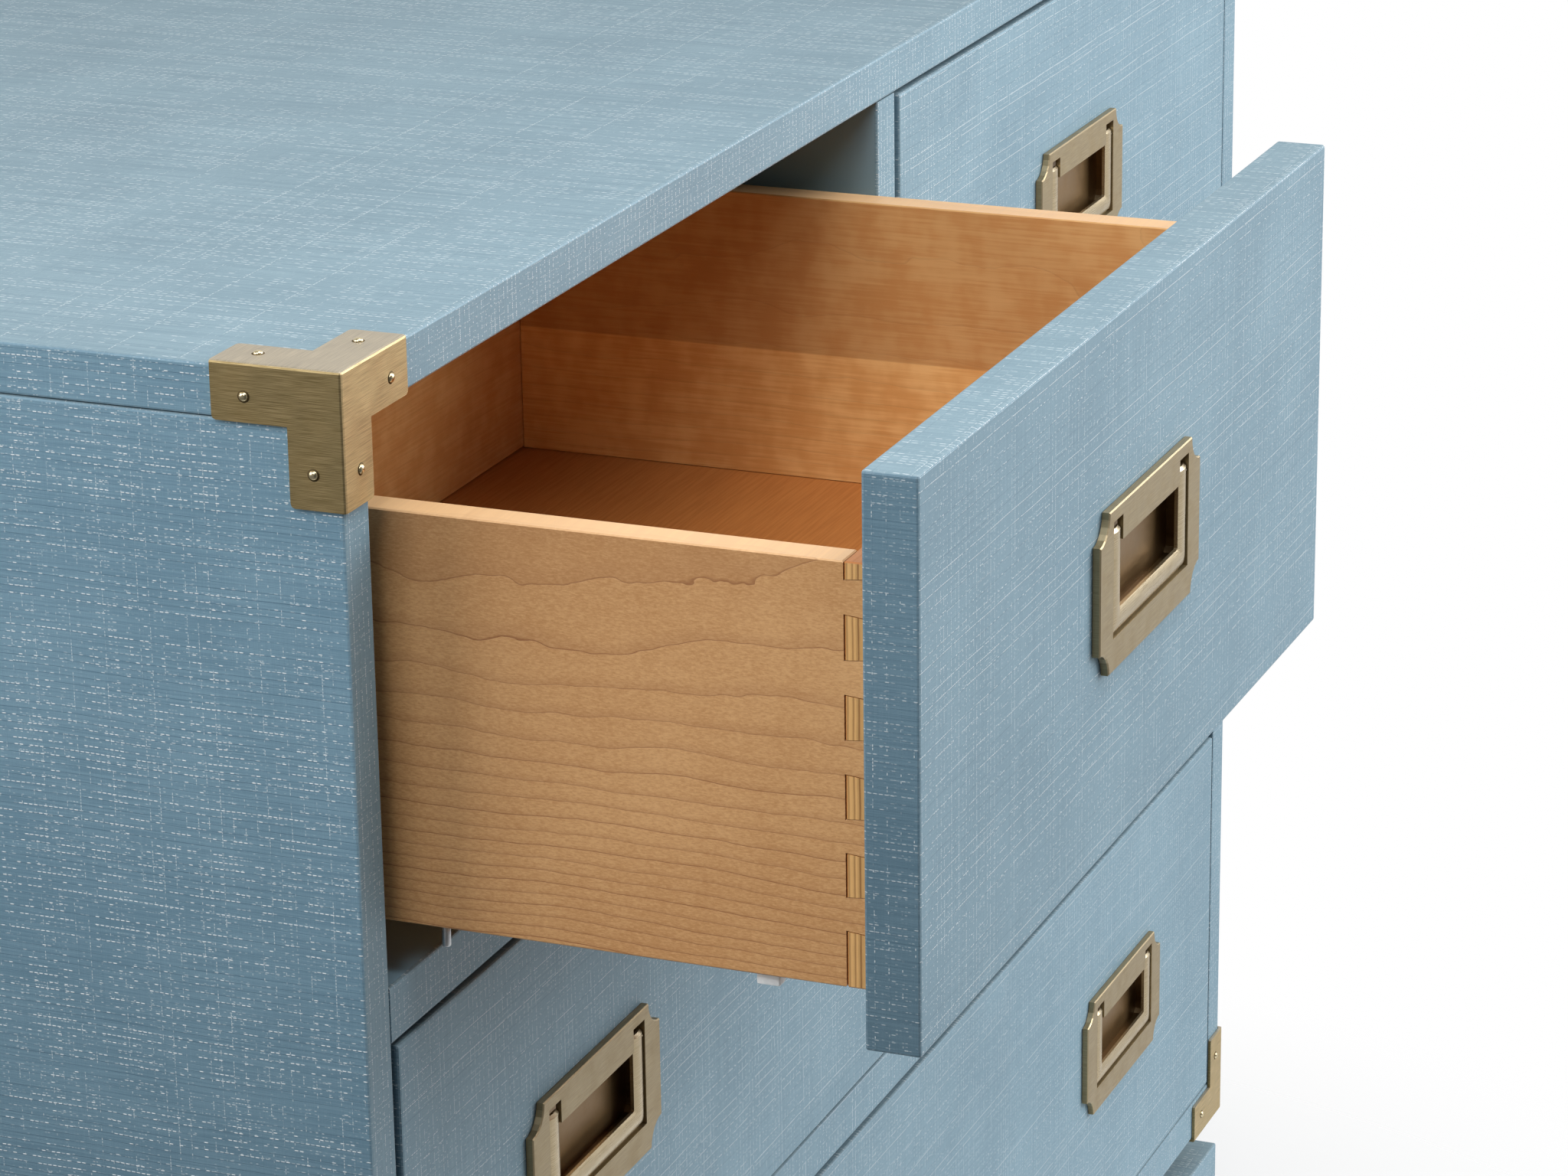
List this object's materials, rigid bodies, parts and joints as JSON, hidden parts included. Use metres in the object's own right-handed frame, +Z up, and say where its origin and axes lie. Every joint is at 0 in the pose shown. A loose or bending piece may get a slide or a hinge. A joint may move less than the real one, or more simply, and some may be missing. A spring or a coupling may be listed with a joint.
{
  "type": "campaign chest",
  "caption": "Linen-wrapped campaign chest with dovetailed maple drawers on slides, flush brass bail pulls, brass corners and a plinth set below a recessed neck.",
  "frame": {"origin": "on the floor under the middle of the plinth, which has the case's plan", "axes": "+X to the chest's right as seen from the front, -Y out of the front, +Z up"},
  "size_m": [1.0706, 0.6661, 0.8382],
  "materials": {
    "linen": "board wrapped in woven linen under satin lacquer, powder blue",
    "painted": "dark flat paint",
    "maple": "clear satin lacquer",
    "plywood": "clear satin lacquer",
    "brass": "brushed satin, aged",
    "steel": "zinc plated"
  },
  "bodies": {
    "case": {"top_panel": "linen", "left_end_panel": "linen", "right_end_panel": "linen", "upper_dust_panel": "linen", "lower_dust_panel": "linen", "bottom_panel": "linen", "centre_divider": "linen", "back_panel": "painted", "base_neck": "linen", "base_plinth": "linen", "corner_top_front_left": "brass", "corner_top_front_right": "brass", "corner_top_back_left": "brass", "corner_top_back_right": "brass", "corner_bottom_front_left": "brass", "corner_bottom_front_right": "brass", "corner_bottom_back_left": "brass", "corner_bottom_back_right": "brass", "upper_left_runner": "steel", "upper_right_runner": "steel", "middle_left_runner": "steel", "middle_right_runner": "steel", "lower_left_runner": "steel", "lower_right_runner": "steel"},
    "upper_left_drawer": {"upper_left_drawer_front": "linen", "upper_left_drawer_box_front": "plywood", "upper_left_drawer_left_side": "maple", "upper_left_drawer_right_side": "maple", "upper_left_drawer_back": "maple", "upper_left_drawer_bottom": "plywood", "upper_left_pull_plate": "brass"},
    "upper_right_drawer": {"upper_right_drawer_front": "linen", "upper_right_drawer_box_front": "plywood", "upper_right_drawer_left_side": "maple", "upper_right_drawer_right_side": "maple", "upper_right_drawer_back": "maple", "upper_right_drawer_bottom": "plywood", "upper_right_pull_plate": "brass"},
    "middle_drawer": {"middle_drawer_front": "linen", "middle_drawer_box_front": "plywood", "middle_drawer_left_side": "maple", "middle_drawer_right_side": "maple", "middle_drawer_back": "maple", "middle_drawer_bottom": "plywood", "middle_left_pull_plate": "brass", "middle_right_pull_plate": "brass"},
    "lower_drawer": {"lower_drawer_front": "linen", "lower_drawer_box_front": "plywood", "lower_drawer_left_side": "maple", "lower_drawer_right_side": "maple", "lower_drawer_back": "maple", "lower_drawer_bottom": "plywood", "lower_left_pull_plate": "brass", "lower_right_pull_plate": "brass"},
    "upper_left_pull_bail": {"upper_left_pull_bail": "brass"},
    "upper_right_pull_bail": {"upper_right_pull_bail": "brass"},
    "middle_left_pull_bail": {"middle_left_pull_bail": "brass"},
    "middle_right_pull_bail": {"middle_right_pull_bail": "brass"},
    "lower_left_pull_bail": {"lower_left_pull_bail": "brass"},
    "lower_right_pull_bail": {"lower_right_pull_bail": "brass"}
  },
  "joints": [
    {"name": "upper_left_drawer_slide", "type": "slide", "parent": "case", "child": "upper_left_drawer", "axis": [0, -1, 0], "range_m": [-0.203, 0.127]},
    {"name": "upper_right_drawer_slide", "type": "slide", "parent": "case", "child": "upper_right_drawer", "axis": [0, -1, 0], "range_m": [0, 0.33]},
    {"name": "middle_drawer_slide", "type": "slide", "parent": "case", "child": "middle_drawer", "axis": [0, -1, 0], "range_m": [0, 0.33]},
    {"name": "lower_drawer_slide", "type": "slide", "parent": "case", "child": "lower_drawer", "axis": [0, -1, 0], "range_m": [0, 0.33]},
    {"name": "upper_left_bail_hinge", "type": "hinge", "parent": "upper_left_drawer", "child": "upper_left_pull_bail", "pos_m": [-0.2626, -0.4346, 0.7305], "axis": [-1, 0, 0], "range_deg": [0, 95]},
    {"name": "upper_right_bail_hinge", "type": "hinge", "parent": "upper_right_drawer", "child": "upper_right_pull_bail", "pos_m": [0.2626, -0.2316, 0.7305], "axis": [-1, 0, 0], "range_deg": [0, 95]},
    {"name": "middle_left_bail_hinge", "type": "hinge", "parent": "middle_drawer", "child": "middle_left_pull_bail", "pos_m": [-0.3435, -0.2316, 0.4915], "axis": [-1, 0, 0], "range_deg": [0, 95]},
    {"name": "middle_right_bail_hinge", "type": "hinge", "parent": "middle_drawer", "child": "middle_right_pull_bail", "pos_m": [0.3435, -0.2316, 0.4915], "axis": [-1, 0, 0], "range_deg": [0, 95]},
    {"name": "lower_left_bail_hinge", "type": "hinge", "parent": "lower_drawer", "child": "lower_left_pull_bail", "pos_m": [-0.3435, -0.2316, 0.2525], "axis": [-1, 0, 0], "range_deg": [0, 95]},
    {"name": "lower_right_bail_hinge", "type": "hinge", "parent": "lower_drawer", "child": "lower_right_pull_bail", "pos_m": [0.3435, -0.2316, 0.2525], "axis": [-1, 0, 0], "range_deg": [0, 95]}
  ]
}
